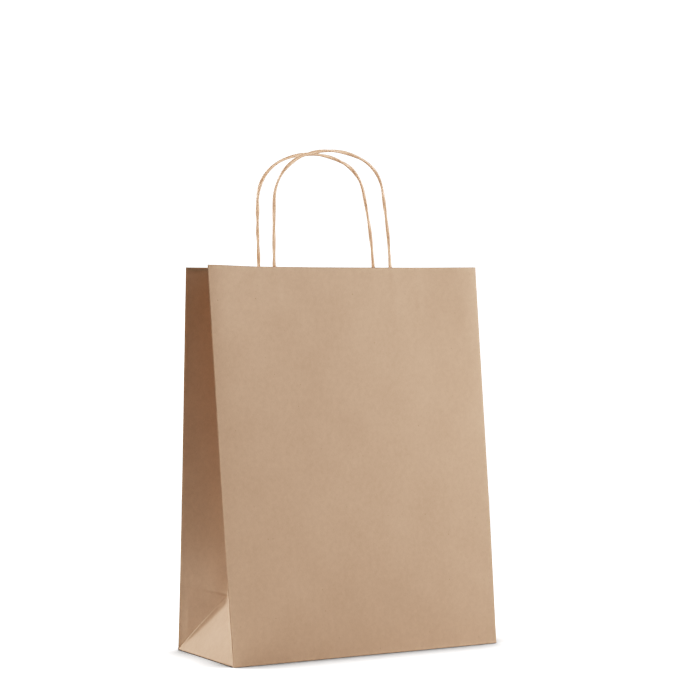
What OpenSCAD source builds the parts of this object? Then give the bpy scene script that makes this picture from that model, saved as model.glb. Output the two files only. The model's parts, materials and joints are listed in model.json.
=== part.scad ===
// Gift bag of plain kraft paper with folded side gussets, a block bottom and
// two loop handles of twisted paper cord. All sizes are in millimetres.
//
// The origin is the centre of the rest face, +X runs along the width, +Y runs
// from the front to the back and +Z is up. The bag stands part open: its two
// walls lean in, and each side gusset is folded in between them.

/* [Bag] */
// Width of the front along its bottom edge
bottom_w = 245; // [225:1:265]
// Width of the front along its top edge, where the paper spreads a little
top_w = 252; // [245:1:270]
// Depth of the bottom, front to back
depth = 110; // [100:1:125]
// Height of the front, measured up the paper
height = 320; // [300:1:340]
// How far the top corners of each wall lean in
lean_in = 33; // [28:1:36]
// How far the middle of each top edge bows in past its corners
bow = 5.3; // [4:0.1:6]
// Thickness of the paper
paper = 0.15; // [0.12:0.01:0.18]

/* [Bottom] */
// How far the two bottom flaps overlap each other
flap_overlap = 30; // [20:1:40]
// Length of each end flap inside the bottom
end_flap_len = 70; // [60:1:75]
// Width of the glued strip that closes the paper tube
seam_w = 15; // [12:1:18]

/* [Handles] */
// Diameter of the twisted paper cord
cord_d = 3; // [2.6:0.1:3.2]
// Where the left leg of each handle stands, across from the bag's middle
handle_x = -62; // [-66:1:-56]
// Straight length of the left leg above the bag
leg_len = 53.5; // [45:0.5:60]
// Radius of the wide left shoulder
shoulder_left_r = 39; // [36:1:41]
// Radius of the crown
crown_r = 73; // [68:1:78]
// Radius of the tighter right shoulder
shoulder_right_r = 34; // [31:1:36]
// How far each handle leans outwards, in degrees
handle_lean = 1; // [0.8:0.1:2]

/* [Handle patches] */
// Width of the paper patch that holds a handle's legs
patch_w = 160; // [150:1:170]
// Height of the patch
patch_h = 45; // [40:1:50]
// Distance from the bag's top edge down to the patch
patch_drop = 3; // [2:0.5:5]

/* [Hidden] */
$fn = 48;

kraft = [0.78, 0.68, 0.56];
kraft_inside = [0.70, 0.60, 0.48];
cord_colour = [0.78, 0.62, 0.46];

// Layers of the bottom: one sheet of paper and the film of glue under the next
layer = paper + 0.02;
floor_z = 3 * layer;
// Gap kept at a crease between two panels that turn on it
crease_gap = 0.3;
// Layers inside a curved wall, each with the glue that holds it
glue = 0.1;
wall_layer = paper + glue;

// The walls lean in by wall_tilt. The bottom's end triangles lean in by
// base_tilt, which follows because the same paper meets at the apex of both.
half_d = depth / 2;
wall_tilt = asin(lean_in / height);
base_tilt = acos((1 - sin(wall_tilt)) / cos(wall_tilt));
apex = [-bottom_w / 2 + half_d * sin(base_tilt), 0, floor_z + half_d * cos(base_tilt)];

// Half the width of a wall, and its distance from the middle plane, at a
// height h up the paper
function half_w(h) = (bottom_w + (top_w - bottom_w) * h / height) / 2;
function side_y(h) = half_d - h * sin(wall_tilt);

// A wall bows in between its side creases, flat across the handle patch
function bow_at(x, h) = bow * pow(1 - pow(x / half_w(h), 4), 2) * pow(h / height, 2);

// A point of the front wall: x across, h up the paper and n into the bag
function wall_point(x, h, n) = [
    x,
    -half_d + h * sin(wall_tilt) + n * cos(wall_tilt),
    floor_z + h * cos(wall_tilt) - n * sin(wall_tilt)
];
function panel_point(x, h, n) = wall_point(x, h, bow_at(x, h) + n);

// The middle crease of the left gusset, at a height h up the paper
crease_lean = asin((sqrt(half_d * half_d - pow(side_y(height), 2)) - half_d * sin(base_tilt))
    / (height - half_d));
function crease_z(h) = apex[2] + (h - half_d) * cos(crease_lean);
function crease_dip(h) = floor_z + h * cos(wall_tilt) - crease_z(h);
function fold_in(h) = sqrt(half_d * half_d - pow(side_y(h), 2) - pow(crease_dip(h), 2));
function crease_point(h) = [-half_w(h) + fold_in(h), 0, crease_z(h)];

// Where the paper at height h ends on the inner side of the left gusset's
// front half: on the diagonal below the apex, and on the crease above it
function gusset_end(h) = h < half_d
    ? wall_point(-bottom_w / 2, 0, 0) * (1 - h / half_d) + apex * (h / half_d)
    : crease_point(h);

// The front half turns as one stiff piece, so it stops short of the creases
// that the real paper bends along
side_gap_bottom = 0.6;
side_gap_top = 5;
crease_clear = 3.4;
crease_clear_top = 0.7;
diagonal_clear = 5;
function side_gap(h) = side_gap_bottom + (side_gap_top - side_gap_bottom) * h / height;
function crease_gap_y(h) = crease_clear_top
    + (crease_clear - crease_clear_top) * (1 - pow(h / height, 3));
function gusset_start_share(h) = side_gap(h) / min(h, half_d);
function gusset_end_share(h) = min(
    1 - crease_gap_y(h) / side_y(h),
    1 - diagonal_clear / min(h, half_d)
);
function unit(v) = v / norm(v);
function gusset_point(h, share, n) = let(
    start = wall_point(-half_w(h), h, 0),
    across = gusset_end(h) - start,
    inward = unit(cross(across, wall_point(0, 1, 0) - wall_point(0, 0, 0)))
) start + across * share + inward * n;
gusset_rows = concat(
    [for (i = [1 : 4]) half_d * i / 4],
    [for (i = [1 : 6]) half_d + (height - half_d) * i / 6]
);

cord_r = cord_d / 2;

// The handle's outline is a straight left leg and four arcs, each starting
// where the last one ends. A heading is the angle of travel above +X, and
// every arc bends to the right from one heading to the next.
headings = [90, 22, -25, -79.5, -88];
right_leg_r = (leg_len
    + shoulder_left_r * (cos(headings[1]) - cos(headings[0]))
    + crown_r * (cos(headings[2]) - cos(headings[1]))
    + shoulder_right_r * (cos(headings[3]) - cos(headings[2])))
    / (cos(headings[3]) - cos(headings[4]));
arc_radii = [shoulder_left_r, crown_r, shoulder_right_r, right_leg_r];
function arc_step(i) = arc_radii[i] * [
    sin(headings[i]) - sin(headings[i + 1]),
    cos(headings[i + 1]) - cos(headings[i])
];
function arc_start(i) = i == 0 ? [handle_x, leg_len] : arc_start(i - 1) + arc_step(i - 1);
function arc_centre(i) = arc_start(i) + arc_radii[i] * [sin(headings[i]), -cos(headings[i])];
right_leg_x = arc_start(4)[0];

// Rings of cord along that outline, each [x, z, heading, radius], with a
// rounded foot at both ends that turns on the pivot
arc_steps = [8, 8, 7, 5];
foot_angles = [25, 55];
function arc_ring(i, step) = let(
    heading = headings[i] + (headings[i + 1] - headings[i]) * step / arc_steps[i],
    at = arc_centre(i) + arc_radii[i] * [-sin(heading), cos(heading)]
) [at[0], at[1], heading, cord_r];
function foot_ring(x, heading, beyond, angle) = [
    x + beyond * cord_r * cos(angle) * cos(heading),
    beyond * cord_r * cos(angle) * sin(heading),
    heading,
    cord_r * sin(angle)
];
handle_rings = concat(
    [for (angle = foot_angles) foot_ring(handle_x, headings[0], -1, angle)],
    [[handle_x, 0, headings[0], cord_r]],
    [for (i = [0 : 3]) for (step = [0 : arc_steps[i] - 1]) arc_ring(i, step)],
    [[right_leg_x, 0, headings[4], cord_r]],
    [for (i = [1 : -1 : 0]) foot_ring(right_leg_x, headings[4], 1, foot_angles[i])]
);

// Handle legs lie on the patch inside the wall. The pivot of each handle is
// just above the bag's top edge, where the cord leaves the patch.
pivot_up = cord_r + 1;
leg_n = bow_at(right_leg_x, height) + 2 * wall_layer + cord_r;
foot_above_edge = 4;
leg_hidden = patch_h - foot_above_edge;
leg_slope = (bow_at(right_leg_x, height) - bow_at(right_leg_x, height - leg_hidden)) / leg_hidden;
leg_tilt = wall_tilt + atan(leg_slope);
pivot = wall_point(0, height + pivot_up, leg_n + leg_slope * pivot_up);
foot_clear = 0.5;
foot_gap = cord_r + foot_clear;
patch_x = (handle_x + right_leg_x) / 2;

// A sheet of paper between two grids of points. Each grid is a list of rows
// that go up the sheet. Seen from outside the first grid, its columns run to
// the right.
module sheet(outer, inner) {
    rows = len(outer);
    cols = len(outer[0]);
    points = concat([for (row = outer) each row], [for (row = inner) each row]);
    function at(side, i, j) = side * rows * cols + i * cols + j;
    function quad(a, b, c, d) = [[a, b, c], [a, c, d]];
    faces = concat(
        [for (i = [0 : rows - 2]) for (j = [0 : cols - 2])
            each quad(at(0, i, j), at(0, i + 1, j), at(0, i + 1, j + 1), at(0, i, j + 1))],
        [for (i = [0 : rows - 2]) for (j = [0 : cols - 2])
            each quad(at(1, i, j), at(1, i, j + 1), at(1, i + 1, j + 1), at(1, i + 1, j))],
        [for (j = [0 : cols - 2])
            each quad(at(0, 0, j), at(0, 0, j + 1), at(1, 0, j + 1), at(1, 0, j))],
        [for (j = [0 : cols - 2])
            each quad(at(0, rows - 1, j + 1), at(0, rows - 1, j),
                at(1, rows - 1, j), at(1, rows - 1, j + 1))],
        [for (i = [0 : rows - 2])
            each quad(at(0, i + 1, 0), at(0, i, 0), at(1, i, 0), at(1, i + 1, 0))],
        [for (i = [0 : rows - 2])
            each quad(at(0, i, cols - 1), at(0, i + 1, cols - 1),
                at(1, i + 1, cols - 1), at(1, i, cols - 1))]
    );
    polyhedron(points, faces);
}

// A solid cord through rings that stand upright on the plane y = 0
module cord(rings) {
    sides = 10;
    last = len(rings) - 1;
    function ring_point(ring, angle) = [
        ring[0] - ring[3] * cos(angle) * sin(ring[2]),
        ring[3] * sin(angle),
        ring[1] + ring[3] * cos(angle) * cos(ring[2])
    ];
    function at(i, side) = i * sides + side % sides;
    polyhedron(
        [for (ring = rings) for (side = [0 : sides - 1]) ring_point(ring, 360 * side / sides)],
        concat(
            [[for (side = [sides - 1 : -1 : 0]) at(0, side)]],
            [for (i = [0 : last - 1]) for (side = [0 : sides - 1])
                [at(i, side), at(i, side + 1), at(i + 1, side + 1), at(i + 1, side)]],
            [[for (side = [0 : sides - 1]) at(last, side)]]
        )
    );
}

module to_back() {
    mirror([0, 1, 0]) children();
}

module to_right() {
    mirror([1, 0, 0]) children();
}

// A wall of the bag, from its bottom crease to its cut top edge
module wall_panel() {
    cols = 42;
    heights = [for (i = [0 : 6]) crease_gap + (height - crease_gap) * i / 6];
    function across(h, j) = (half_w(h) - crease_gap) * (2 * j / cols - 1);
    color(kraft) sheet(
        [for (h = heights) [for (j = [0 : cols]) panel_point(across(h, j), h, 0)]],
        [for (h = heights) [for (j = [0 : cols]) panel_point(across(h, j), h, paper)]]
    );
}

module front_panel() {
    wall_panel();
}

module back_panel() {
    to_back() wall_panel();
}

// The glued strip inside the back wall, along its right side crease
module side_seam_flap() {
    low = 6;
    high = height - 1;
    edge = 1.5;
    heights = [for (i = [0 : 6]) low + (high - low) * i / 6];
    function across(h, j) = half_w(h) - edge - seam_w * (1 - j / 2);
    color(kraft_inside) to_back() sheet(
        [for (h = heights) [for (j = [0 : 2]) panel_point(across(h, j), h, wall_layer)]],
        [for (h = heights) [for (j = [0 : 2]) panel_point(across(h, j), h, wall_layer + paper)]]
    );
}

// One half of a side gusset, from a wall's side crease to the middle crease
module gusset_half() {
    function share(h, j) = gusset_end_share(h) + (gusset_start_share(h) - gusset_end_share(h)) * j / 2;
    color(kraft) sheet(
        [for (h = gusset_rows) [for (j = [0 : 2]) gusset_point(h, share(h, j), 0)]],
        [for (h = gusset_rows) [for (j = [0 : 2]) gusset_point(h, share(h, j), paper)]]
    );
}

module left_gusset_front() {
    gusset_half();
}

module left_gusset_back() {
    to_back() gusset_half();
}

module right_gusset_front() {
    to_right() gusset_half();
}

module right_gusset_back() {
    to_right() to_back() gusset_half();
}

// The triangle that leans in from the bottom's end edge to the gusset's apex
module base_triangle() {
    low = 0.6;
    color(kraft) translate([-bottom_w / 2, 0, floor_z]) rotate([0, base_tilt, 0])
        rotate([90, 0, 90]) linear_extrude(paper) polygon([
            [-(half_d - low - diagonal_clear), low],
            [half_d - low - diagonal_clear, low],
            [0, half_d - diagonal_clear]
        ]);
}

module left_base_triangle() {
    base_triangle();
}

module right_base_triangle() {
    to_right() base_triangle();
}

// The square flap at each end of the bottom, innermost
module end_flap() {
    inset = 1;
    color(kraft_inside) translate([-bottom_w / 2 + inset, -half_d + inset, 2 * layer])
        cube([end_flap_len - inset, depth - 2 * inset, paper]);
}

module left_end_flap() {
    end_flap();
}

module right_end_flap() {
    to_right() end_flap();
}

// A bottom flap with mitred ends, from the front edge past the middle
module bottom_flap() {
    reach = half_d + flap_overlap / 2;
    color(kraft) linear_extrude(paper) polygon([
        [-bottom_w / 2, -half_d],
        [bottom_w / 2, -half_d],
        [bottom_w / 2 - reach, reach - half_d],
        [-bottom_w / 2 + reach, reach - half_d]
    ]);
}

module front_bottom_flap() {
    translate([0, 0, layer]) bottom_flap();
}

module back_bottom_flap() {
    to_back() bottom_flap();
}

// The strip of paper glued flat inside a wall, behind the handle's legs
module patch_outer() {
    cols = 24;
    heights = [for (i = [0 : 2]) height - patch_drop - patch_h * (1 - i / 2)];
    function across(j) = patch_x + patch_w * (j / cols - 0.5);
    color(kraft_inside) sheet(
        [for (h = heights) [for (j = [0 : cols]) panel_point(across(j), h, wall_layer)]],
        [for (h = heights) [for (j = [0 : cols]) panel_point(across(j), h, wall_layer + paper)]]
    );
}

// The strip glued over the legs, which stands up in a ridge over each leg
ridge_half_w = 9;
ridge_steps = 5;
ridge_room = 0.6;
function ridge(x, leg_x) = abs(x - leg_x) < ridge_half_w
    ? (cord_d + ridge_room) * pow(cos(90 * (x - leg_x) / ridge_half_w), 2)
    : 0;
module patch_inner() {
    inset = 1;
    heights = [for (i = [0 : 2]) height - patch_drop - inset - (patch_h - 2 * inset) * (1 - i / 2)];
    ridge_offsets = [for (i = [-ridge_steps : ridge_steps]) ridge_half_w * i / ridge_steps];
    flat_from = handle_x + ridge_half_w;
    flat_w = right_leg_x - ridge_half_w - flat_from;
    flat_steps = 8;
    columns = concat(
        [patch_x - patch_w / 2 + inset],
        [for (offset = ridge_offsets) handle_x + offset],
        [for (i = [1 : flat_steps - 1]) flat_from + flat_w * i / flat_steps],
        [for (offset = ridge_offsets) right_leg_x + offset],
        [patch_x + patch_w / 2 - inset]
    );
    function lift(x) = 2 * wall_layer + ridge(x, handle_x) + ridge(x, right_leg_x);
    color(kraft_inside) sheet(
        [for (h = heights) [for (x = columns) panel_point(x, h, lift(x))]],
        [for (h = heights) [for (x = columns) panel_point(x, h, lift(x) + paper)]]
    );
}

// The two lengths of cord that the patch holds
module handle_ends() {
    color(cord_colour) for (x = [handle_x, right_leg_x]) {
        translate([x, pivot[1], pivot[2]]) rotate([-leg_tilt, 0, 0])
            translate([0, 0, -pivot_up - patch_drop - leg_hidden])
            cylinder(r = cord_r, h = pivot_up + patch_drop + leg_hidden - foot_gap);
    }
}

// The part of a handle that shows above the bag, standing on its two feet
module handle_loop() {
    color(cord_colour) translate([0, pivot[1], pivot[2]]) rotate([handle_lean, 0, 0])
        cord(handle_rings);
}

module front_patch_outer() {
    patch_outer();
}

module front_patch_inner() {
    patch_inner();
}

module front_handle_ends() {
    handle_ends();
}

module front_handle_loop() {
    handle_loop();
}

module back_patch_outer() {
    to_back() patch_outer();
}

module back_patch_inner() {
    to_back() patch_inner();
}

module back_handle_ends() {
    to_back() handle_ends();
}

module back_handle_loop() {
    to_back() handle_loop();
}

front_panel();
back_panel();
side_seam_flap();
left_gusset_front();
left_gusset_back();
right_gusset_front();
right_gusset_back();
left_base_triangle();
right_base_triangle();
left_end_flap();
right_end_flap();
front_bottom_flap();
back_bottom_flap();
front_patch_outer();
front_patch_inner();
front_handle_ends();
front_handle_loop();
back_patch_outer();
back_patch_inner();
back_handle_ends();
back_handle_loop();
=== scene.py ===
"""The looks of a kraft paper gift bag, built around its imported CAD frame.

Everything is in metres, in the frame of the CAD: +X across the bag, +Y from
the front to the back, +Z up, and the origin at the centre of the rest face.
"""

import json
import math

import bpy
import numpy as np
from mathutils import Matrix, Vector


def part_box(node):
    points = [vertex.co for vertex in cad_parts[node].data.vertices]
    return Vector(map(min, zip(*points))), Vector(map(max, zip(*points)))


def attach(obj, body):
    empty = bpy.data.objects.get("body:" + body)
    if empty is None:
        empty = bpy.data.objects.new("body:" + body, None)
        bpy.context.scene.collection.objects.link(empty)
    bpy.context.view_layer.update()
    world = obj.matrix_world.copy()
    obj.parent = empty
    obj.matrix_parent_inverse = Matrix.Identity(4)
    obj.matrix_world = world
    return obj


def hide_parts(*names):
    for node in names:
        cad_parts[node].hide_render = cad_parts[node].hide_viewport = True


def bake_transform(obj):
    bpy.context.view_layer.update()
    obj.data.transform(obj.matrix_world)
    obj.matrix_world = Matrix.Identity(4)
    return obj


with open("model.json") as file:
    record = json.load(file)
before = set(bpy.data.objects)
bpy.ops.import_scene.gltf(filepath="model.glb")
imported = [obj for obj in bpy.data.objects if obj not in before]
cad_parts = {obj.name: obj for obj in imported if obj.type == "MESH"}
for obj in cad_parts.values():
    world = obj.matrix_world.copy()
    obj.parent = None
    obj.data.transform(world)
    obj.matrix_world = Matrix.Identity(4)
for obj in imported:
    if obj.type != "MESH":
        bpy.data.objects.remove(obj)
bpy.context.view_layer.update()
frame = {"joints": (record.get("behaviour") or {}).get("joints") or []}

# ---------------------------------------------------------------- sizes
JOINTS = {j["name"]: j for j in frame["joints"]}
SIDE_AXIS = JOINTS["left_gusset_front_fold"]["axis"]
TILT = math.atan2(SIDE_AXIS[1], SIDE_AXIS[2])
SIN_T, COS_T = math.sin(TILT), math.cos(TILT)
SPREAD = -SIDE_AXIS[0] / math.hypot(SIDE_AXIS[1], SIDE_AXIS[2])
HALF_BOTTOM = -JOINTS["left_gusset_front_fold"]["pos_m"][0]
HALF_D = -JOINTS["front_wall_tilt"]["pos_m"][1]
FLOOR_Z = JOINTS["front_wall_tilt"]["pos_m"][2]
HEIGHT = (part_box("front_panel")[1].z - FLOOR_Z) / COS_T
HANDLE_PIVOT = Vector(JOINTS["front_handle_swing"]["pos_m"])
SIDES = ((-1, "front"), (1, "back"))
ENDS = ((True, "left"), (False, "right"))
PAPER = 0.00015
GLUE = 0.0001
WALL_LAYER = PAPER + GLUE

# The end triangle of the bottom leans in until its apex lies on both gusset
# halves; from there the middle crease runs up to the top edge.
SIN_B = math.sqrt(1 - ((1 - SIN_T) / COS_T) ** 2)
COS_B = (1 - SIN_T) / COS_T
APEX = np.array([-HALF_BOTTOM + HALF_D * SIN_B, 0, FLOOR_Z + HALF_D * COS_B])
TOP_SIDE_Y = HALF_D - HEIGHT * SIN_T
SIN_C = (math.sqrt(HALF_D**2 - TOP_SIDE_Y**2) - HALF_D * SIN_B) / (HEIGHT - HALF_D)
COS_C = math.sqrt(1 - SIN_C**2)

# Folds, by the radius of the paper's outer face
SIDE_FOLD = 0.0004
FLOOR_FOLD = 0.0007
MIDDLE_FOLD = 0.0004

# The middle crease is eased in over a height above the apex. The diagonals are
# soft bends: their depth, reach up the gusset, fade at the apex and roundness.
APEX_EASE = 0.05
DIAGONAL_DROP, DIAGONAL_FAR, DIAGONAL_END, DIAGONAL_ROUND = 0.0045, 0.035, 0.008, 0.45

# Widths of the light wear along creases and cut edges
CREASE_WEAR, LOW_CREASE_WEAR, DIAGONAL_WEAR = 0.0009, 0.0007, 0.0015
CUT_WEAR, STRIP_WEAR = 0.0006, 0.0008

# Shape of the handles, as in the CAD: a straight left leg, then four arcs
CORD_R = 0.0015
HANDLE_LEFT_X = -0.062
LEG = 0.0535
ARC_RADII = [0.039, 0.073, 0.034]
HEADINGS = [math.radians(a) for a in (90, 22, -25, -79.5, -88)]
HANDLE_LEAN = math.radians(1)
LINE_STEP = 0.0005
PATCH_W, PATCH_H, PATCH_DROP = 0.160, 0.045, 0.003
PATCH_TOP = HEIGHT - PATCH_DROP
LEG_IN_PATCH = 0.041


# ---------------------------------------------------------------- helpers
def ease(t):
    t = np.clip(t, 0, 1)
    return t * t * (3 - 2 * t)


def waves(u, v, size, seed, count=8):
    """A soft undulation with a mean of 0 and a typical height of 0.7."""
    draw = np.random.default_rng(seed)
    total = np.zeros(np.broadcast(u, v).shape)
    for _ in range(count):
        angle, phase = draw.uniform(0, 2 * math.pi, 2)
        k = 2 * math.pi / (size * draw.uniform(0.7, 1.6))
        total += np.sin(k * (u * math.cos(angle) + v * math.sin(angle)) + phase)
    return total / math.sqrt(count)


def stack(x, y, z):
    return np.stack(np.broadcast_arrays(x, y, z), -1).astype(float)


def unit(v):
    return v / np.maximum(np.linalg.norm(v, axis=-1, keepdims=True), 1e-12)


def grid_normals(points):
    along, across = np.gradient(points, axis=0), np.gradient(points, axis=1)
    return unit(np.cross(across, along))


def steps(*stops):
    """Values from stop to stop: (start, end, count) triples."""
    out = []
    for start, end, count in stops:
        out += list(np.linspace(start, end, count, endpoint=False))
    return np.array(out + [stops[-1][1]])


def worn(distance, width, most=1.0):
    """Wear that is strongest on an edge and fades over a width."""
    return most * np.exp(-distance / width)


def put_mesh(name, points, faces, uv, wear):
    mesh = bpy.data.meshes.new(name)
    mesh.from_pydata([tuple(p) for p in points], [], faces)
    mesh.update()
    mesh.polygons.foreach_set("use_smooth", [True] * len(mesh.polygons))
    corner = np.zeros(len(mesh.loops), int)
    mesh.loops.foreach_get("vertex_index", corner)
    layer = mesh.uv_layers.new(name="paper")
    layer.data.foreach_set("uv", np.asarray(uv, float)[corner].ravel())
    attribute = mesh.attributes.new("wear", "FLOAT", "POINT")
    attribute.data.foreach_set("value", np.asarray(wear, np.float32).ravel())
    obj = bpy.data.objects.new(name, mesh)
    bpy.context.scene.collection.objects.link(obj)
    return obj


def paper_sheet(name, face, uv, wear, materials, flip=False):
    """A closed sheet of paper with its printed side on the grid face.

    The grid's rows run up the sheet. Seen from outside, its columns run to
    the right, or to the left with flip.
    """
    rows, cols = face.shape[:2]
    outward = grid_normals(face) * (-1 if flip else 1)
    for col in range(1, cols):
        folded_away = np.linalg.norm(outward[:, col], axis=-1) < 0.5
        outward[folded_away, col] = outward[folded_away, col - 1]
    points = np.concatenate([face.reshape(-1, 3), (face - outward * PAPER).reshape(-1, 3)])
    index = np.arange(rows * cols).reshape(rows, cols)
    back = index + rows * cols

    def quads(a):
        return np.stack([a[:-1, :-1], a[:-1, 1:], a[1:, 1:], a[1:, :-1]], -1).reshape(-1, 4)

    def band(a, b):
        return np.stack([a[:-1], b[:-1], b[1:], a[1:]], -1)

    outside = quads(index)
    inside = quads(back)[:, ::-1]
    rim = np.concatenate([
        band(index[0], back[0]),
        band(back[-1], index[-1]),
        band(back[:, 0], index[:, 0]),
        band(index[:, -1], back[:, -1]),
    ])
    faces = np.concatenate([outside, inside, rim])
    if flip:
        faces = faces[:, ::-1]
    both_uv = np.concatenate([uv.reshape(-1, 2), uv.reshape(-1, 2) + 0.7])
    both_wear = np.concatenate([wear.ravel(), wear.ravel() * 0.6])
    # points that meet become one, so a column that shrinks to a line leaves no faces
    _, first, same = np.unique(
        np.round(points * 1e7), axis=0, return_index=True, return_inverse=True,
    )
    kept, kinds, smooth = [], [], []
    for number, face_points in enumerate(same.ravel()[faces].tolist()):
        ring = [v for i, v in enumerate(face_points) if v != face_points[i - 1]]
        if len(ring) > 2 and len(set(ring)) == len(ring):
            kept.append(ring)
            kinds.append(0 if number < len(outside) else 1)
            smooth.append(number < len(outside) + len(inside))
    obj = put_mesh(name, points[first], kept, both_uv[first], both_wear[first])
    for material in materials:
        obj.data.materials.append(material)
    obj.data.polygons.foreach_set("material_index", kinds)
    obj.data.polygons.foreach_set("use_smooth", smooth)
    return obj


# ---------------------------------------------------------------- materials
class Shader:
    """A Principled material whose nodes are added one call each."""

    def __init__(self, name, **fixed):
        self.material = bpy.data.materials.new(name)
        self.material.use_nodes = True
        self.tree = self.material.node_tree
        self.tree.nodes.clear()
        self.out = self.tree.nodes.new("ShaderNodeOutputMaterial")
        self.surface = self.add("ShaderNodeBsdfPrincipled", **fixed)
        self.join(self.surface, "BSDF", self.out, "Surface")

    def add(self, kind, settings=None, **sockets):
        made = self.tree.nodes.new(kind)
        for key, value in (settings or {}).items():
            setattr(made, key, value)
        for key, value in sockets.items():
            key = key.replace("_", " ")
            if isinstance(value, tuple) and isinstance(value[0], bpy.types.Node):
                self.tree.links.new(value[0].outputs[value[1]], made.inputs[key])
            else:
                made.inputs[key].default_value = value
        return made

    def join(self, a, output, b, socket):
        self.tree.links.new(a.outputs[output], b.inputs[socket])

    def uv(self, scale, turn=0.0):
        pin = self.add("ShaderNodeUVMap", {"uv_map": "paper"})
        place = self.add("ShaderNodeMapping", Vector=(pin, "UV"))
        place.inputs["Rotation"].default_value = (0, 0, turn)
        place.inputs["Scale"].default_value = (scale[0], scale[1], 1)
        return (place, "Vector")

    def noise(self, vector, detail=2.0, roughness=0.5, distortion=0.0):
        made = self.add(
            "ShaderNodeTexNoise", Vector=vector, Scale=1.0, Detail=detail,
            Roughness=roughness, Distortion=distortion,
        )
        return (made, "Fac")

    def spread(self, value, low, high, to_low, to_high):
        made = self.add("ShaderNodeMapRange", {"interpolation_type": "SMOOTHSTEP"})
        self.tree.links.new(value[0].outputs[value[1]], made.inputs["Value"])
        ends = {"From Min": low, "From Max": high, "To Min": to_low, "To Max": to_high}
        for key, number in ends.items():
            made.inputs[key].default_value = number
        return (made, "Result")

    def math(self, operation, a, b=None):
        made = self.add("ShaderNodeMath", {"operation": operation})
        for socket, value in enumerate((a, b)):
            if isinstance(value, tuple):
                self.tree.links.new(value[0].outputs[value[1]], made.inputs[socket])
            elif value is not None:
                made.inputs[socket].default_value = value
        return (made, "Value")

    def mix(self, factor, a, b, blend="MIX"):
        made = self.add("ShaderNodeMix", {"data_type": "RGBA", "blend_type": blend})
        for socket, value in ((0, factor), (6, a), (7, b)):
            if isinstance(value, tuple) and isinstance(value[0], bpy.types.Node):
                self.tree.links.new(value[0].outputs[value[1]], made.inputs[socket])
            else:
                made.inputs[socket].default_value = value
        return (made, 2)

    def drive(self, socket, value):
        self.tree.links.new(value[0].outputs[value[1]], self.surface.inputs[socket])

    def bump(self, height, distance, strength=1.0, under=None):
        made = self.add("ShaderNodeBump", Strength=strength, Distance=distance)
        self.tree.links.new(height[0].outputs[height[1]], made.inputs["Height"])
        if under is not None:
            self.tree.links.new(under[0].outputs[under[1]], made.inputs["Normal"])
        return (made, "Normal")


def rgb(r, g, b):
    return (r, g, b, 1.0)


def tinted(base, *by):
    """A colour times one factor, or times a factor for each channel."""
    return rgb(*[min(1, c * f) for c, f in zip(base, by * 3 if len(by) == 1 else by)])


def kraft(name, base, rough, relief):
    """Kraft paper: fibres along the sheet, cloudy pulp, specks and worn creases."""
    s = Shader(name, IOR=1.5)
    s.surface.inputs["Specular IOR Level"].default_value = 0.35
    s.surface.inputs["Sheen Weight"].default_value = 0.06
    s.surface.inputs["Sheen Roughness"].default_value = 0.5
    long_fibres = s.noise(s.uv((2600, 520)), detail=3, roughness=0.6, distortion=0.4)
    cross_fibres = s.noise(s.uv((900, 2300), turn=0.6), detail=2, roughness=0.6)
    pulp = s.noise(s.uv((260, 200)), detail=4, roughness=0.6)
    clouds = s.noise(s.uv((38, 30)), detail=3, roughness=0.5)
    fibres = s.math(
        "ADD", s.math("MULTIPLY", long_fibres, 0.6), s.math("MULTIPLY", cross_fibres, 0.4),
    )
    light, dark = tinted(base, 1.05), tinted(base, 0.95, 0.94, 0.93)
    tone = s.math("ADD", s.math("MULTIPLY", fibres, 0.55), s.math("MULTIPLY", pulp, 0.27))
    tone = s.math("ADD", tone, s.math("MULTIPLY", clouds, 0.18))
    colour = s.mix(s.spread(tone, 0.36, 0.64, 0, 1), dark, light)
    flecks = s.add(
        "ShaderNodeTexVoronoi", {"feature": "F1"}, Vector=s.uv((210, 130), turn=0.3), Scale=1.0,
    )
    fleck_pick = s.add("ShaderNodeSeparateColor")
    s.join(flecks, "Color", fleck_pick, "Color")
    fleck = s.math(
        "MULTIPLY",
        s.spread((flecks, "Distance"), 0.03, 0.09, 1, 0),
        s.spread((fleck_pick, "Red"), 0.70, 0.98, 0, 0.55),
    )
    colour = s.mix(fleck, colour, tinted(base, 0.45, 0.38, 0.32))
    wear = s.add("ShaderNodeAttribute", {"attribute_name": "wear"})
    rubbed = s.math("MULTIPLY", (wear, "Fac"), s.spread(pulp, 0.3, 0.7, 0.25, 0.8))
    colour = s.mix(rubbed, colour, tinted(base, 1.22))
    s.drive("Base Color", colour)
    s.drive("Roughness", s.spread(tone, 0.35, 0.65, rough + 0.06, rough - 0.06))
    fine = s.bump(fibres, relief, 0.5)
    s.drive("Normal", s.bump(pulp, relief * 3, 0.5, fine))
    return s.material


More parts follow.
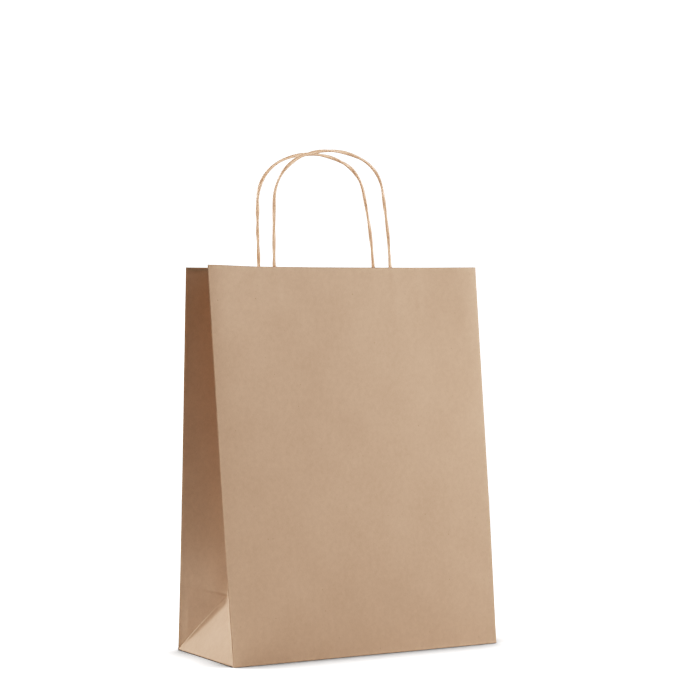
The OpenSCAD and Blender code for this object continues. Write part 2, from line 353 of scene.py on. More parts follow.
def twisted_cord(name, base):
    """Paper tape twisted into cord: fibres and creases that follow the twist, and painted shade
    that darkens its grooves.
    """
    s = Shader(name, IOR=1.5)
    s.surface.inputs["Specular IOR Level"].default_value = 0.4
    strands = s.noise(s.uv((1500, 70)), detail=3, roughness=0.6, distortion=0.3)
    crinkle = s.noise(s.uv((700, 300)), detail=3, roughness=0.55)
    clouds = s.noise(s.uv((60, 45)), detail=2)
    tone = s.math("ADD", s.math("MULTIPLY", strands, 0.5), s.math("MULTIPLY", crinkle, 0.25))
    tone = s.math("ADD", tone, s.math("MULTIPLY", clouds, 0.25))
    light, dark = tinted(base, 1.07), tinted(base, 0.90, 0.88, 0.85)
    colour = s.mix(s.spread(tone, 0.36, 0.64, 0, 1), dark, light)
    # painted shade: the colour darkens along the cord's grooves, whose mask comes in through the
    # wear attribute
    groove_mask = s.add("ShaderNodeAttribute", {"attribute_name": "wear"})
    groove_shade = s.math("MULTIPLY", (groove_mask, "Fac"), 0.45)
    colour = s.mix(groove_shade, colour, tinted(base, 0.62, 0.55, 0.48))
    s.drive("Base Color", colour)
    s.drive("Roughness", s.spread(tone, 0.35, 0.65, 0.62, 0.48))
    fine = s.bump(strands, 0.00003, 0.5)
    s.drive("Normal", s.bump(crinkle, 0.00005, 0.4, fine))
    return s.material


KRAFT = kraft("kraft_outside", (0.588, 0.438, 0.332), 0.62, 0.00002)
KRAFT_IN = kraft("kraft_inside", (0.549, 0.408, 0.301), 0.78, 0.00004)
CORD = twisted_cord("paper_cord", (0.58, 0.405, 0.30))

# ---------------------------------------------------------------- camera
# Where the camera stands, around and above a point on the bag's axis, and the
# way it looks, which is a little off that point
CAMERA_AROUND, CAMERA_ABOVE = math.radians(-27.74), math.radians(3.38)
CAMERA_DISTANCE = 1.7262
CAMERA_AIM_Z = 0.160
VIEW_AROUND, VIEW_UP, VIEW_ROLL = math.radians(-28.16), math.radians(0.42), math.radians(-0.63)
LENS, SENSOR = 105.48, 36


def direction(around, above):
    """From the object towards a viewer at that azimuth and elevation."""
    return Vector((
        math.sin(around) * math.cos(above),
        -math.cos(around) * math.cos(above),
        math.sin(above),
    ))


def add_camera():
    data = bpy.data.cameras.new("camera")
    data.lens, data.sensor_width = LENS, SENSOR
    data.clip_start, data.clip_end = 0.05, 50
    camera = bpy.data.objects.new("camera", data)
    bpy.context.scene.collection.objects.link(camera)
    back = direction(VIEW_AROUND, VIEW_UP)
    right = (-back).cross(Vector((0, 0, 1))).normalized()
    up = right.cross(-back)
    c, s = math.cos(VIEW_ROLL), math.sin(VIEW_ROLL)
    x_axis, y_axis = right * c + up * s, up * c - right * s
    place = Matrix((x_axis, y_axis, back)).transposed().to_4x4()
    place.translation = (
        Vector((0, 0, CAMERA_AIM_Z)) + direction(CAMERA_AROUND, CAMERA_ABOVE) * CAMERA_DISTANCE
    )
    camera.matrix_world = place
    bpy.context.scene.camera = camera


add_camera()

# ---------------------------------------------------------------- handle outline
def handle_outline():
    """The loop in its own plane, from pivot to pivot, and where its right leg ends."""
    cos, sin = [math.cos(a) for a in HEADINGS], [math.sin(a) for a in HEADINGS]
    last = (LEG + sum(ARC_RADII[i] * (cos[i + 1] - cos[i]) for i in range(3))) / (cos[3] - cos[4])
    at = np.array([HANDLE_LEFT_X, LEG])
    line = [np.array([HANDLE_LEFT_X, z]) for z in np.arange(0, LEG, LINE_STEP)]
    for i, radius in enumerate(ARC_RADII + [last]):
        centre = at + radius * np.array([sin[i], -cos[i]])
        count = max(2, int(radius * (HEADINGS[i] - HEADINGS[i + 1]) / LINE_STEP))
        for heading in np.linspace(HEADINGS[i], HEADINGS[i + 1], count, endpoint=False):
            line.append(centre + radius * np.array([-math.sin(heading), math.cos(heading)]))
        at = centre + radius * np.array([-sin[i + 1], cos[i + 1]])
    return np.array(line), float(at[0])


HANDLE_LINE, HANDLE_RIGHT_X = handle_outline()
LEGS_X = (HANDLE_LEFT_X, HANDLE_RIGHT_X)
PATCH_MIDDLE = sum(LEGS_X) / 2

# ---------------------------------------------------------------- paper shape
WALL_SEED = {-1: 11, 1: 23}
GUSSET_SEED = 61
EDGE_BULGE = {-1: 0.0006, 1: -0.0004}
GUSSET_SWELL, GUSSET_LOW, APEX_GAP = 0.0005, 0.0012, 0.0003
CORNER_LIFT = 0.0007
BOW = 0.0053
SOFT_WAVE, FINE_WAVE = 0.00045, 0.00010
PATCH_PRINT, LEG_PRINT, LEG_PRINT_W = 0.00009, 0.00012, 0.0028
LOW_CREASE, LOW_CREASE_W = 0.0005, 0.0025


def half_w(h, facing=0):
    """Half the width of a wall. Its side creases swell or draw in a little low down."""
    t = np.clip(h / HEIGHT, 0, 1)
    return HALF_BOTTOM + SPREAD * h + EDGE_BULGE.get(facing, 0) * np.sin(math.pi * t**0.7) ** 2


def wall_top(x, facing):
    """Height up the paper of the cut edge, a little raised at the front's left corner."""
    if facing > 0:
        return HEIGHT + 0 * x
    return HEIGHT + CORNER_LIFT * ease((-x - 0.075) / 0.05)


def wall_relief(x, h, facing):
    """How far in a wall's outer face lies from its plane.

    The walls bow in, wave softly, and show the patches and the cords' ends.
    The back has the crease that the folded bag's bottom turns up along.
    """
    q = np.clip(np.abs(x) / half_w(h), 0, 1)
    t = np.clip(h / HEIGHT, 0, 1)
    bow = BOW * (1 - q**4) ** 2 * t**2
    window = (1 - q**2) * ease(h / 0.05)
    soft = SOFT_WAVE * waves(x, h, 0.16, WALL_SEED[facing]) * window
    fine = FINE_WAVE * waves(x, h, 0.045, WALL_SEED[facing] + 1) * window * (1 - 0.5 * t)
    from_side = PATCH_W / 2 - np.abs(x - PATCH_MIDDLE)
    from_low = h - (PATCH_TOP - PATCH_H)
    patch = PATCH_PRINT * ease(from_side / 0.002 + 0.5) * ease(from_low / 0.002 + 0.5)
    legs = sum(
        LEG_PRINT * np.exp(-(((x - leg_x) / LEG_PRINT_W) ** 2)) * ease(from_low / 0.006)
        for leg_x in LEGS_X
    )
    crease = 0
    if facing > 0:
        off = (h - HALF_D) / LOW_CREASE_W
        crease = LOW_CREASE * np.exp(-np.abs(off)) * (0.35 + 0.65 * q)
    return bow + soft + fine - patch - legs + crease


def wall_point(x, h, n, facing):
    """On a wall: x across, h up the paper, n in. facing is -1 for the front."""
    return stack(x, facing * (HALF_D - h * SIN_T - n * COS_T), FLOOR_Z + h * COS_T - n * SIN_T)


def floor_fold(lean_sin, lean_cos, start, level):
    """Arc from a leaning wall's outer face to a level, in its own (in, up) plane.

    The plane passes in = start at FLOOR_Z. Returns points, inward normals and
    the heights up the paper, from the floor's end to the wall's end.
    """
    z = level + FLOOR_FOLD
    centre = np.array([start + (FLOOR_FOLD + (z - FLOOR_Z) * lean_sin) / lean_cos, z])
    lean = math.atan2(lean_sin, lean_cos)
    angles = np.linspace(math.pi / 2 + lean, 0, 9)
    outward = np.stack([-np.cos(angles - lean), -np.sin(angles - lean)], -1)
    points = centre + FLOOR_FOLD * outward
    tangent = points[-1]
    top_h = (tangent[0] - start) * lean_sin + (tangent[1] - FLOOR_Z) * lean_cos
    return points, -outward, top_h - FLOOR_FOLD * angles


def wall_paper(name, facing, level, u_start):
    """A whole wall, from its fold at the floor to its cut top edge."""
    fold, fold_in, fold_h = floor_fold(SIN_T, COS_T, -HALF_D, level)
    up = steps((0, 0.004, 5), (0.004, 0.012, 4), (0.012, 0.05, 10), (0.05, 0.060, 8),
               (0.060, 0.265, 46), (0.265, 0.278, 10), (0.278, 0.312, 9), (0.312, HEIGHT, 6))
    share = up / HEIGHT
    turn = np.linspace(math.pi / 2, 0, 6)[:-1]
    inner = steps((0, 0.02, 8), (0.02, 0.08, 10), (0.08, 0.92, 80), (0.92, 0.98, 10), (0.98, 1, 8))
    fold_x, fold_n = SIDE_FOLD * np.sin(turn), SIDE_FOLD * (1 - np.cos(turn))
    n_side = np.concatenate([fold_n, 0 * inner, fold_n[::-1]])
    grid, flat, wear = [], [], []
    low = fold_h[-1]
    heights = np.concatenate([fold_h[:-1], low + (HEIGHT - low) * share])
    for row, h in enumerate(heights):
        half = float(half_w(max(h, 0), facing))
        span = half - SIDE_FOLD
        x = np.concatenate([-span - fold_x, -span + 2 * span * inner, (span + fold_x)[::-1]])
        if row < len(fold) - 1:
            at, inward = fold[row], fold_in[row]
            y, z = at[0] + n_side * inward[0], at[1] + n_side * inward[1]
            grid.append(stack(x, -facing * y, z))
            h_here = h + 0 * x
        else:
            h_here = low + (wall_top(x, facing) - low) * share[row - len(fold) + 1]
            grid.append(wall_point(x, h_here, n_side + wall_relief(x, h_here, facing), facing))
        flat.append(np.stack([u_start + x, h_here], -1))
        edge = worn(half - np.abs(x), CREASE_WEAR) + worn(np.abs(h_here), CREASE_WEAR)
        if facing > 0:
            edge = edge + worn(np.abs(h_here - HALF_D), LOW_CREASE_WEAR, 0.8)
        wear.append(np.clip(edge + worn(HEIGHT - h_here, CUT_WEAR, 0.5), 0, 1))
    return paper_sheet(
        name, np.array(grid), np.array(flat), np.array(wear), [KRAFT, KRAFT_IN], flip=facing > 0,
    )


def middle_crease(h):
    """The gusset's middle crease of the left side, without its fold."""
    side_y = HALF_D - h * SIN_T
    z = APEX[2] + (h - HALF_D) * COS_C
    dip = FLOOR_Z + h * COS_T - z
    fold_in = np.sqrt(np.maximum(HALF_D**2 - side_y**2 - dip**2, 0))
    return stack(-half_w(h) + fold_in, 0 * h, z)


SIDE_UP = np.array([-SPREAD, SIN_T, COS_T])


def smooth_crease(h):
    """The middle crease, leaving the apex in the plane of the paper below it."""
    step = 0.0001
    slope = np.diff(middle_crease(np.array([HALF_D, HALF_D + step]))[:, 0])[0] / step
    side = np.array([-half_w(HALF_D), -HALF_D * (1 - SIN_T), FLOOR_Z + HALF_D * COS_T])
    normal = np.cross(SIDE_UP, APEX - side)
    t = np.clip((h - HALF_D) / APEX_EASE, 0, 1)
    crease = middle_crease(h)
    crease[:, 0] += (-normal[2] / normal[0] * COS_C - slope) * APEX_EASE * t * (1 - t) ** 3
    return crease


CORNER = np.array([-HALF_BOTTOM, -HALF_D, FLOOR_Z])
DIAGONAL = unit(APEX - CORNER)


def diagonal_pull():
    """Sum of the two directions square to the front diagonal, one in each plane."""
    into_half = unit(SIDE_UP - DIAGONAL * (SIDE_UP @ DIAGONAL))
    middle = np.array([0.0, 1.0, 0.0])
    into_triangle = unit(middle - DIAGONAL * (middle @ DIAGONAL))
    return into_half + into_triangle


PULL = diagonal_pull()


def corner_ramp(t):
    """0 below 0, t above it, with the corner between them rounded."""
    rounded = (t + DIAGONAL_ROUND) ** 2 / (4 * DIAGONAL_ROUND)
    return np.where(t > DIAGONAL_ROUND, t, np.where(t > -DIAGONAL_ROUND, rounded, 0))


def soften(points, s, h):
    """Draws the diagonals down into a soft bend: s is across from the front crease, -1 to 1."""
    y, moved = s * HALF_D, points.copy()
    for sign in (1, -1):
        across = sign * y + HALF_D
        along = (across + h) / 2
        off = (across - h) / math.sqrt(2)
        deep = DIAGONAL_DROP * np.sin(math.pi / 2 * np.clip(along / HALF_D / 0.7, 0.02, 1))
        amount = DIAGONAL_FAR * deep / (DIAGONAL_FAR + deep)
        below = corner_ramp(1 - off / deep)
        above = corner_ramp(1 + off / DIAGONAL_FAR)
        fade = ease((HALF_D + DIAGONAL_END - along) / (2 * DIAGONAL_END)) * ease(across / 0.012)
        pull = amount * np.where(off > 0, below, above) * fade
        moved = moved + pull[..., None] * PULL * np.array([1, sign, 1])
    return moved


def pillow(s, h):
    """How far a gusset swells out of its folded planes."""
    ridge = np.abs(s) * (1 - np.abs(s)) * 4
    return GUSSET_SWELL * ridge * waves(s * HALF_D, h, 0.12, GUSSET_SEED) * ease(h / 0.08)


def gusset_half(name, left, facing, u_start):
    """Half a gusset, from a wall's side crease to the middle crease.

    It is built at the left front and mirrored. In each row of the paper an arc
    for the side fold, a straight run and an arc for the middle fold join up.
    """
    near_apex = 0.004
    rows = steps((GUSSET_LOW, 0.006, 5), (0.006, HALF_D - near_apex, 16),
                 (HALF_D - near_apex, HALF_D + near_apex, 8), (HALF_D + near_apex, 0.09, 10),
                 (0.09, HEIGHT, 52))
    inner = steps((0, 0.06, 6), (0.06, 0.9, 18), (0.9, 1, 8))
    turn = np.linspace(0, 1, 6)
    h = rows[:, None]
    lift = CORNER_LIFT if (left and facing < 0) else 0.0
    side = stack(-half_w(rows, facing), -(HALF_D - rows * SIN_T), FLOOR_Z + rows * COS_T)
    below = np.clip(rows / HALF_D, 0, 1)[:, None]
    end = np.where(
        h < HALF_D, CORNER + below * (APEX - CORNER), smooth_crease(np.maximum(rows, HALF_D)),
    )
    # the row's own plane: u along the wall, v square to it towards the crease
    u, middle = np.array([1.0, 0, 0]), np.array([0, 1.0, 0])
    r1 = SIDE_FOLD
    r2 = MIDDLE_FOLD * np.clip((rows - HALF_D) / 0.01, 0, 1)[:, None]
    across = unit(end - side)
    for _ in range(4):
        v = unit(across - (across @ u)[:, None] * u)
        cos_a = (across @ u)[:, None]
        sin_a = np.sqrt(1 - cos_a**2)
        centre1 = side + r1 * u + r1 * v
        first = centre1 + r1 * (-sin_a * u + cos_a * v)
        e = unit(across * [1, 0, 1])
        cos_b = np.sum(across * e, -1, keepdims=True)
        sin_b = across[:, 1:2]
        centre2 = end - r2 * e
        last = centre2 + r2 * (sin_b * e - cos_b * middle)
        across = unit(last - first)
    swing = (math.pi / 2 - np.arctan2(sin_a, cos_a))[:, :, None] * turn[None, :-1, None]
    arc1 = centre1[:, None] + r1 * (-np.cos(swing) * u + np.sin(swing) * v[:, None])
    straight = first[:, None] + (last - first)[:, None] * inner[None, :, None]
    beta = np.arctan2(sin_b, cos_b)[:, :, None]
    beta = beta + (math.pi / 2 - beta) * turn[None, 1:, None]
    around = np.sin(beta) * e[:, None] - np.cos(beta) * middle
    arc2 = centre2[:, None] + r2[:, None] * around
    points = np.concatenate([arc1, straight, arc2], 1)
    share = np.concatenate([0 * turn[:-1], inner, 1 + 0 * turn[1:]])[None, :] + 0 * h
    s = np.where(h < HALF_D, -1 + share * h / HALF_D, -1 + share)
    outward = -grid_normals(points)
    calm = np.clip(inner * 12, 0, 1) * np.clip((1 - inner) * 12, 0, 1)
    calm = np.concatenate([0 * turn[:-1], calm, 0 * turn[1:]])
    points = points + outward * (pillow(s, h) * calm)[..., None]
    points = soften(points, s, h)
    points[..., 2] += lift * ease((h - 0.25) / 0.07) * (1 - share)
    flat = np.stack([u_start - HALF_D * (1 + s), h + 0 * s], -1)
    to_diagonal = np.abs((s + 1) * HALF_D - h) / math.sqrt(2)
    wear = (
        worn((s + 1) * HALF_D, CREASE_WEAR)
        + worn(-s * HALF_D, CREASE_WEAR) * (h > HALF_D)
        + worn(to_diagonal, DIAGONAL_WEAR, 0.15) * (h < HALF_D * 1.02)
        + worn(HEIGHT - h, CUT_WEAR, 0.5)
    )
    points = points * np.array([1 if left else -1, -facing, 1])
    return paper_sheet(
        name, points, flat, np.clip(wear, 0, 1), [KRAFT, KRAFT_IN], flip=left == (facing < 0),
    )


def base_triangle(name, left, u_start):
    """The triangle that leans in from the bottom's end edge to the apex."""
    fold, _, fold_h = floor_fold(SIN_B, COS_B, -HALF_BOTTOM, FLOOR_Z - PAPER)
    up = steps((fold_h[-1], 0.004, 4), (0.004, HALF_D - APEX_GAP, 34))
    rows = np.concatenate([fold_h[:-1], up])
    cols = np.linspace(-1, 1, 49)
    points, flat, wear = [], [], []
    for row, h in enumerate(rows):
        half = HALF_D - max(h, 0.0)
        y = cols * half
        x, z = -HALF_BOTTOM + h * SIN_B, FLOOR_Z + h * COS_B
        if row < len(fold) - 1:
            x, z = fold[row]
        points.append(stack(x, y, z))
        flat.append(np.stack([u_start - HALF_D - y, h + 0 * y], -1))
        edges = worn(abs(h), CREASE_WEAR) + worn(half - np.abs(y), DIAGONAL_WEAR, 0.15)
        wear.append(np.clip(edges, 0, 1))
    points, flat, wear = np.array(points), np.array(flat), np.array(wear)
    s = points[..., 1] / HALF_D
    points = soften(points, s, np.maximum(rows, 0)[:, None] + 0 * s)
    points = points * np.array([1 if left else -1, 1, 1])
    return paper_sheet(name, points, flat, wear, [KRAFT, KRAFT_IN], flip=left)


def place(obj, body, slot, node):
    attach(obj, body)
    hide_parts(node)


# ---------------------------------------------------------------- handles
# The cords hang a little off the CAD's loops. At each share of the length they
# lie some mm to the right (minus is left). In the middle they lie some mm down
# and some metres outward. Their ends are led aside to meet the loop, over a
# stretch from below the wall's edge to above it.
SLACK_AT = [0, 0.16, 0.35, 0.5, 0.72, 0.85, 1]
SLACK_RIGHT = [-1.1, -1.1, 0, -0.5, -1.8, -1.6, -1.1]
SLACK_DOWN, SLACK_OUT = 0.8, 0.0008
ASIDE, JOIN_BELOW, JOIN_ABOVE = -0.0011, 0.012, 0.0024
WOBBLE = 0.0003
STRIP_CLEAR = 0.00012

# The twist: its length, the mean, least and greatest radius, and the rounded ends
CORD_PITCH = 0.056
CORD_FULL, CORD_THIN, CORD_THICK, CORD_TAPER = CORD_R * 0.92, 0.0009, 0.0017, 0.0006


def angle_off(own, at):
    """How far an angle is from another, either way round."""
    return np.abs((own - at + math.pi) % (2 * math.pi) - math.pi)


def cord_mesh(name, path, seed):
    """A twisted paper cord along path: a flattened tape whose seams wind round."""
    count, sides = len(path), 28
    tangent = unit(np.gradient(path, axis=0))
    pieces = np.linalg.norm(np.diff(path, axis=0), axis=1)
    s = np.concatenate([[0], np.cumsum(pieces)])
    y_axis = np.array([0, 1.0, 0])
    across = unit(y_axis - tangent * (tangent @ y_axis)[:, None])
    other = np.cross(tangent, across)
    draw = np.random.default_rng(seed)
    twist = 2 * math.pi * s / CORD_PITCH + 0.7 * waves(s, 0 * s, 0.11, seed) + draw.uniform(0, 6)
    phi = np.linspace(0, 2 * math.pi, sides, endpoint=False)[None, :]
    own = phi - twist[:, None]
    swell = 1 + 0.06 * waves(s, 0 * s, 0.05, seed + 1)[:, None]
    shape = 1 + 0.15 * np.cos(2 * own) + 0.04 * np.cos(3 * own + 1)
    groove = np.exp(-((angle_off(own, 1.1) / 0.2) ** 2))
    groove2 = 0.5 * np.exp(-((angle_off(own, 3.6) / 0.16) ** 2))
    crinkle = 0.008 * waves(own * CORD_R, s[:, None], 0.0045, seed + 2)
    radius = CORD_FULL * swell * (shape - 0.09 * groove - 0.08 * groove2 + crinkle)
    radius = np.clip(radius, CORD_THIN, CORD_THICK)
    to_end = np.minimum(s, s[-1] - s)
    taper = np.minimum(1, np.sqrt(np.clip(to_end / CORD_TAPER, 0.05, 1)))
    radius = radius * taper[:, None]
    points = path[:, None] + radius[..., None] * (
        np.cos(phi)[..., None] * across[:, None] + np.sin(phi)[..., None] * other[:, None]
    )
    index = np.arange(count * sides).reshape(count, sides)
    nxt = np.roll(index, -1, 1)
    faces = np.stack([index[1:], nxt[1:], nxt[:-1], index[:-1]], -1).reshape(-1, 4).tolist()
    faces += [index[0].tolist(), index[-1][::-1].tolist()]
    # the texture runs in the tape's own frame, so its fibres wind with it
    wound = np.abs(((own / (2 * math.pi)) % 1) * 2 - 1) * math.pi * CORD_R
    uv = np.stack([wound, s[:, None] + 0 * own], -1).reshape(-1, 2)
    # the groove mask goes in as the wear attribute; the cord's material paints shade into the
    # grooves with it
    obj = put_mesh(name, points.reshape(-1, 3), faces, uv, np.clip(groove + groove2, 0, 1))
    obj.data.materials.append(CORD)
    return obj


def handle_end(facing, leg_x):
    """The end of a cord, from low under the patch to where it meets the loop."""
    top = HEIGHT + JOIN_ABOVE
    h = np.arange(PATCH_TOP - LEG_IN_PATCH, top, LINE_STEP)
    n = wall_relief(leg_x, np.minimum(h, HEIGHT), facing)
    n = n + STRIP_CLEAR + 2 * WALL_LAYER + CORD_R * 1.12
    aside = ASIDE * ease((h - (PATCH_TOP - 0.001)) / (top - HEIGHT + PATCH_DROP + 0.001))
    leg = wall_point(leg_x + aside, h, n, facing)
    goal = np.array([leg_x + ASIDE, -facing * HANDLE_PIVOT.y, HANDLE_PIVOT.z])
    reach = wall_point(np.array([leg_x + ASIDE]), np.array([top]), n[-1:], facing)[0]
    pull = ease((h - (HEIGHT - JOIN_BELOW)) / (top - HEIGHT + JOIN_BELOW))[:, None]
    return leg + pull * (goal - reach)


def handle_path(facing, seed):
    """The whole cord of a handle, with the two ends that the patch holds."""
    number = np.arange(len(HANDLE_LINE))
    wobble = WOBBLE * waves(number * LINE_STEP, 0 * HANDLE_LINE[:, 0], 0.06, seed)
    wobble *= ease(number / 60) * ease((len(number) - 1 - number) / 60)
    share = np.linspace(0, 1, len(number))
    slack = np.stack([
        np.interp(share, SLACK_AT, SLACK_RIGHT),
        -SLACK_DOWN * np.sin(math.pi * share) ** 2,
    ], -1) * 0.001
    line = HANDLE_LINE + slack
    z = HANDLE_PIVOT.z + line[:, 1] * math.cos(HANDLE_LEAN)
    y = HANDLE_PIVOT.y - line[:, 1] * math.sin(HANDLE_LEAN)
    loop = stack(line[:, 0], -facing * y, z)
    loop[:, 1] += wobble + facing * SLACK_OUT * np.sin(math.pi * share)
    ends = [handle_end(facing, leg_x) for leg_x in LEGS_X]
    path = np.concatenate([ends[0], loop, ends[1][::-1]])
    # even out the path, so that the joins between its stretches are smooth
    for _ in range(12):
        path[1:-1] = path[1:-1] * 0.5 + (path[2:] + path[:-2]) * 0.25
    return path


for facing, side in SIDES:
    cord = cord_mesh(side + "_handle_cord", handle_path(facing, 40 + facing), 50 + facing)
    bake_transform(cord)
    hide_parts(side + "_handle_ends", side + "_handle_loop")

# ---------------------------------------------------------------- walls
# Each piece's u_start sets it on its own stretch of the paper's pattern
FRONT_LAP = 0.00002
for facing, side in SIDES:
    front = facing < 0
    wall = wall_paper(
        side + "_wall_paper", facing, FRONT_LAP if front else 0.0, 0.0 if front else 1.0,
    )
    place(wall, side + "_wall", "kraft_outside", side + "_panel")

# ---------------------------------------------------------------- gussets
for left, end_name in ENDS:
    for facing, side in SIDES:
        body = end_name + "_gusset_" + side
        half = gusset_half(body + "_paper", left, facing, 2.0)
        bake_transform(half)
        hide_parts(body)
    body = end_name + "_base_triangle"
    place(base_triangle(body + "_paper", left, 2.0), body, "kraft_outside", body)

# ---------------------------------------------------------------- bottom
FLAP_REACH = END_FLAP = 0.070
FLAP_INSET, END_INSET, END_SIDE = 0.0008, 0.0009, 0.001
END_CURL = 0.0006


def long_flap(facing, side, level):
    """A long flap of the bottom, with its ends cut at 45 degrees. level(y) is its height."""
    across = steps((0, 1, 60))
    points, flat = [], []
    for y in steps((facing * (HALF_D - FLAP_INSET), facing * (HALF_D - FLAP_REACH), 30)):
        half = HALF_BOTTOM - (HALF_D - facing * y)
        x = -half + 2 * half * across
        points.append(stack(x, y, level(y)))
        flat.append(np.stack([x, y + 0 * x + 1.3], -1))
    points, flat = np.array(points), np.array(flat)
    return paper_sheet(
        side + "_bottom_flap_paper", points, flat, np.zeros(points.shape[:2]), [KRAFT, KRAFT_IN],
        flip=facing < 0,
    )


def front_level(y):
    """The front flap steps up onto the back one."""
    return FRONT_LAP + PAPER * ease((y - (HALF_D - FLAP_REACH) + 0.004) / 0.004)


for facing, side, level in ((-1, "front", front_level), (1, "back", lambda y: 0.0)):
    place(long_flap(facing, side, level), "base", "kraft_outside", side + "_bottom_flap")


def end_flap(name, left):
    """An end flap of the bottom, whose free end curls up a little."""
    start, reach = HALF_BOTTOM - END_INSET, HALF_BOTTOM - END_FLAP
    x, y = np.meshgrid(
        steps((start, reach, 26)), steps((-HALF_D + END_SIDE, HALF_D - END_SIDE, 30)),
        indexing="ij",
    )
    curl = END_CURL * ease((start - x - 0.05) / 0.02) * (0.5 + 0.5 * waves(y, x, 0.05, 81)) ** 2
    points = stack(-x if left else x, y, FLOOR_Z - PAPER + curl)
    flat = np.stack([x + 3, y], -1)
    return paper_sheet(name, points, flat, 0 * x, [KRAFT, KRAFT_IN], flip=left)


for left, end_name in ENDS:
    node = end_name + "_end_flap"
    place(end_flap(node + "_paper", left), "base", "kraft_inside", node)

# ---------------------------------------------------------------- inside strips
STRIP_INSET = 0.001
RIDGE_H, RIDGE_W, SKIRT_H, SKIRT_W = 0.0034, 0.0031, 0.0003, 0.008
SEAM_W, SEAM_INSET = 0.015, 0.0015


def inside_strip(facing, node, xs, hs, lift, u_start):
    """A strip of paper glued inside a wall, lift(x, h) above the wall's inner face."""
    x, h = np.meshgrid(xs, hs, indexing="xy")
    face = wall_point(x, h, wall_relief(x, h, facing) + lift(x, h), facing)
    flat = np.stack([x + u_start, h], -1)
    wear = np.clip(worn(h - hs[0], STRIP_WEAR, 0.5), 0, 1)
    return paper_sheet(node + "_paper", face, flat, wear, [KRAFT_IN, KRAFT_IN], flip=facing > 0)


def ridge(x):
    """The inner strip stands up over both legs."""
    total = 0
    for leg_x in LEGS_X:
        off = np.abs(x - leg_x)
        total = total + RIDGE_H * np.exp(-((off / RIDGE_W) ** 2.6))
        total = total + SKIRT_H * np.exp(-((off / SKIRT_W) ** 2))
    return total


def outer_lift(x, h):
    return WALL_LAYER + PATCH_PRINT


def inner_lift(x, h):
    return 2 * WALL_LAYER + PATCH_PRINT + ridge(x) + STRIP_CLEAR * (1 + waves(x, h, 0.02, 91))


def patch_columns():
    """The inner strip's columns, closer together over both legs."""
    half = PATCH_W / 2 - STRIP_INSET
    near_legs = [leg_x + steps((-0.009, 0.009, 36)) for leg_x in LEGS_X]
    xs = np.unique(np.concatenate([PATCH_MIDDLE + steps((-half, half, 60))] + near_legs))
    return xs[np.concatenate([[True], np.diff(xs) > 0.0001])]


for facing, side in SIDES:
    body, low = side + "_wall", PATCH_TOP - PATCH_H
    node = side + "_patch_outer"
    xs = PATCH_MIDDLE + steps((-PATCH_W / 2, PATCH_W / 2, 80))
    strip = inside_strip(facing, node, xs, steps((low, PATCH_TOP, 20)), outer_lift, 4.0 + facing)
    place(strip, body, "kraft_inside", node)
    node = side + "_patch_inner"
    hs = steps((low + STRIP_INSET, PATCH_TOP - STRIP_INSET, 20))
    strip = inside_strip(facing, node, patch_columns(), hs, inner_lift, 6.0 + facing)
    place(strip, body, "kraft_inside", node)


def side_seam():
    """The lap along which the sheet is glued into a tube, inside the back wall."""
    h = steps((0.006, HEIGHT - 0.001, 80))[:, None]
    x = half_w(h, 1) - SEAM_INSET - SEAM_W * (1 - steps((0, 1, 12))[None, :])
    h = h + 0 * x
    face = wall_point(x, h, wall_relief(x, h, 1) + WALL_LAYER, 1)
    flat = np.stack([x + 8, h], -1)
    return paper_sheet("side_seam_flap_paper", face, flat, 0 * x, [KRAFT_IN, KRAFT_IN], flip=True)


place(side_seam(), "back_wall", "kraft_inside", "side_seam_flap")

# ---------------------------------------------------------------- studio
FLOOR_RADIUS, FLOOR_DROP, FLOOR_SIDES = 1.6, 0.0001, 96
FLOOR_WHITE = 0.93
SHADOW_REACH = 0.05
WHITE_FROM = 1.5
LIGHT_AIM = Vector((0, 0, 0.17))

# name, degrees around and above, distance, size, watts
LIGHTS = [
    ("key_right", 60, 15, 2.0, 1.2, 38.6),
    ("near_right", 62, 38, 0.85, 0.4, 4.7),
    ("behind_left", -130, 30, 1.8, 0.8, 25.4),
    ("behind_high", -150, 35, 1.8, 0.8, 23.2),
]
CORD_FILL = ("cord_fill", -45, 20, 1.9, 1.2, 32)


def stage_floor():
    """A round floor that shows as white, with a painted soft shadow where the bag stands.

    It glows for the camera, and near the bag ambient occlusion darkens that glow and its colour,
    a painted shadow. In all other rays it is plain white, so the foot of the bag gets its light
    back.
    """
    ring = np.linspace(0, 2 * math.pi, FLOOR_SIDES + 1)[:-1]
    rim = [(FLOOR_RADIUS * math.cos(a), FLOOR_RADIUS * math.sin(a), -FLOOR_DROP) for a in ring]
    mesh = bpy.data.meshes.new("floor")
    mesh.from_pydata(rim, [], [list(range(FLOOR_SIDES))])
    floor = bpy.data.objects.new("floor", mesh)
    bpy.context.scene.collection.objects.link(floor)
    s = Shader("floor_white", Roughness=0.9)
    s.surface.inputs["Specular IOR Level"].default_value = 0.0
    s.surface.inputs["Emission Color"].default_value = rgb(1, 1, 1)
    shade = s.add("ShaderNodeAmbientOcclusion", {"samples": 8}, Distance=SHADOW_REACH)
    # painted shadow: ambient occlusion near the bag dims the floor's glow and colour for the
    # camera
    open_sky = s.spread((shade, "AO"), 0.46, 0.97, 0.12, 1.0)
    seen = (s.add("ShaderNodeLightPath"), "Is Camera Ray")
    bounce = s.math("MAXIMUM", open_sky, s.math("SUBTRACT", 1.0, seen))
    white = rgb(FLOOR_WHITE, FLOOR_WHITE, FLOOR_WHITE)
    s.drive("Base Color", s.mix(bounce, rgb(0, 0, 0), white))
    s.drive("Emission Strength", s.math("MULTIPLY", open_sky, seen))
    mesh.materials.append(s.material)


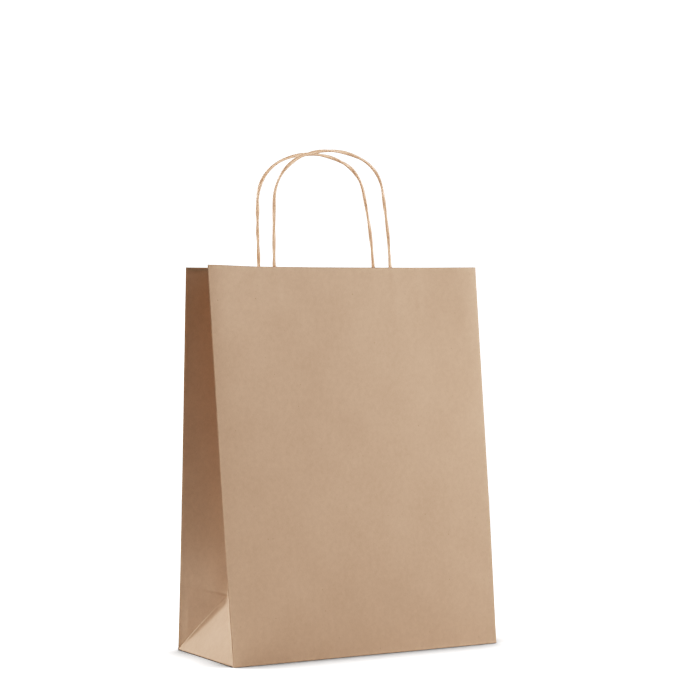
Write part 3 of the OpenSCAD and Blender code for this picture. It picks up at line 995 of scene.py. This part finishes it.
def soft_light(name, around, above, distance, size, watts, lit=()):
    """A square studio lamp. With lit, it is flagged off everything but those pieces."""
    data = bpy.data.lights.new(name, "AREA")
    data.shape, data.size, data.energy = "SQUARE", size, watts
    lamp = bpy.data.objects.new(name, data)
    bpy.context.scene.collection.objects.link(lamp)
    back = direction(math.radians(around), math.radians(above))
    lamp.location = LIGHT_AIM + back * distance
    lamp.rotation_mode = "QUATERNION"
    lamp.rotation_quaternion = back.to_track_quat("Z", "Y")
    if lit:
        receivers = bpy.data.collections.new(name + "_receivers")
        for piece in lit:
            receivers.objects.link(bpy.data.objects[piece])
        lamp.light_linking.receiver_collection = receivers


def white_world(seen_strength, light_strength):
    """A plain white surround: one strength behind the bag, another for its light."""
    world = bpy.data.worlds.new("studio")
    world.use_nodes = True
    tree = world.node_tree
    tree.nodes.clear()
    out = tree.nodes.new("ShaderNodeOutputWorld")
    which, ray = tree.nodes.new("ShaderNodeMixShader"), tree.nodes.new("ShaderNodeLightPath")
    tree.links.new(ray.outputs["Is Camera Ray"], which.inputs[0])
    for socket, strength in ((1, light_strength), (2, seen_strength)):
        glow = tree.nodes.new("ShaderNodeBackground")
        glow.inputs["Color"].default_value = (1, 1, 1, 1)
        glow.inputs["Strength"].default_value = strength
        tree.links.new(glow.outputs[0], which.inputs[socket])
    tree.links.new(which.outputs[0], out.inputs["Surface"])
    bpy.context.scene.world = world


def contrast_curve():
    """The picture's tones: an S curve like a studio camera's, white from WHITE_FROM up."""
    settings = bpy.context.scene.view_settings
    settings.view_transform = "Standard"
    settings.use_curve_mapping = True
    mapping = settings.curve_mapping
    mapping.clip_max_x = WHITE_FROM
    curve = mapping.curves[3]
    curve.points[1].location = (WHITE_FROM, 1)
    for x in (0.1, 0.2, 0.3, 0.45, 0.6, 0.8, 1.0):
        curve.points.new(x, 1 - (1 + x * x) ** -2)
    mapping.update()


stage_floor()
for light in LIGHTS:
    soft_light(*light)
soft_light(*CORD_FILL, lit=["front_handle_cord", "back_handle_cord"])
white_world(2.0, 0.03)
contrast_curve()
